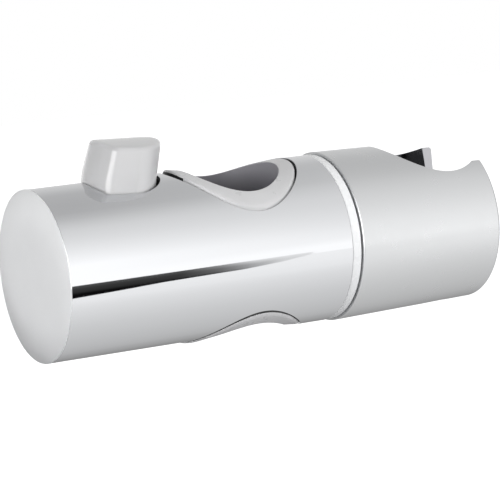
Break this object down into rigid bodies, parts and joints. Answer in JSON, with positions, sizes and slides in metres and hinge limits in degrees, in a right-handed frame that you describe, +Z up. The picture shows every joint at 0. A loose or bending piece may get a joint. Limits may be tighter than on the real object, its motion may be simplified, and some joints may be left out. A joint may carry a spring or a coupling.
{
  "type": "shower rail slider",
  "caption": "Sliding handset bracket for a 25 mm shower rail, with a sprung thumb lever brake and a swivelling conical handset holder.",
  "frame": {"origin": "where the riser rail's axis crosses the slider's own axis, in the middle of the rail bore", "axes": "+Z up along the riser rail, +X along the slider towards the handset holder, -X towards the end cap"},
  "size_m": [0.123, 0.044, 0.0536],
  "materials": {
    "polished_chrome": "bright chrome plating on moulded ABS",
    "satin_chrome": "slightly softer chrome plating on moulded ABS",
    "cap_plastic": "pale grey moulded ABS, fine satin",
    "lever_plastic": "pale grey moulded acetal, smooth",
    "bush_plastic": "grey moulded acetal, smooth",
    "ring_plastic": "pale grey moulded acetal, smooth",
    "shoe_plastic": "black glass-filled nylon",
    "pad_rubber": "matt black moulded rubber",
    "spring_steel": "drawn spring wire",
    "stainless_steel": "turned stainless steel",
    "plated_steel": "bright zinc plating",
    "insert_brass": "turned and knurled brass",
    "washer_nylon": "natural nylon",
    "cover_plastic": "grey moulded snap-in cover"
  },
  "bodies": {
    "body": {"body_shell": "polished_chrome", "end_cap": "cap_plastic", "upper_rail_bush": "bush_plastic", "lower_rail_bush": "bush_plastic", "swivel_ring": "ring_plastic", "lever_pin": "stainless_steel", "brake_spring": "spring_steel", "threaded_insert": "insert_brass", "swivel_screw": "plated_steel", "screw_washer": "plated_steel", "swivel_spring": "spring_steel", "thrust_washer": "washer_nylon", "friction_ring": "pad_rubber"},
    "lever": {"release_lever": "lever_plastic"},
    "shoe": {"brake_shoe": "shoe_plastic", "brake_pad": "pad_rubber"},
    "holder": {"handset_holder": "satin_chrome", "screw_cover": "cover_plastic"}
  },
  "joints": [
    {"name": "lever_pivot", "type": "hinge", "parent": "body", "child": "lever", "pos_m": [-0.0304, 0, 0.0105], "axis": [0, 1, 0], "range_deg": [0, 4], "stiffness_Nm_per_rad": 0.4, "springref_deg": -25.78},
    {"name": "brake_slide", "type": "slide", "parent": "body", "child": "shoe", "axis": [-1, 0, 0], "range_m": [0, 0.0009], "deforming": ["brake_spring"]},
    {"name": "holder_swivel", "type": "hinge", "parent": "body", "child": "holder", "pos_m": [0.0314, 0, 0], "axis": [1, 0, 0], "continuous": true}
  ],
  "couplings": [
    {"joint": "brake_slide", "follows": "lever_pivot", "m_per_rad": 0.0105}
  ]
}
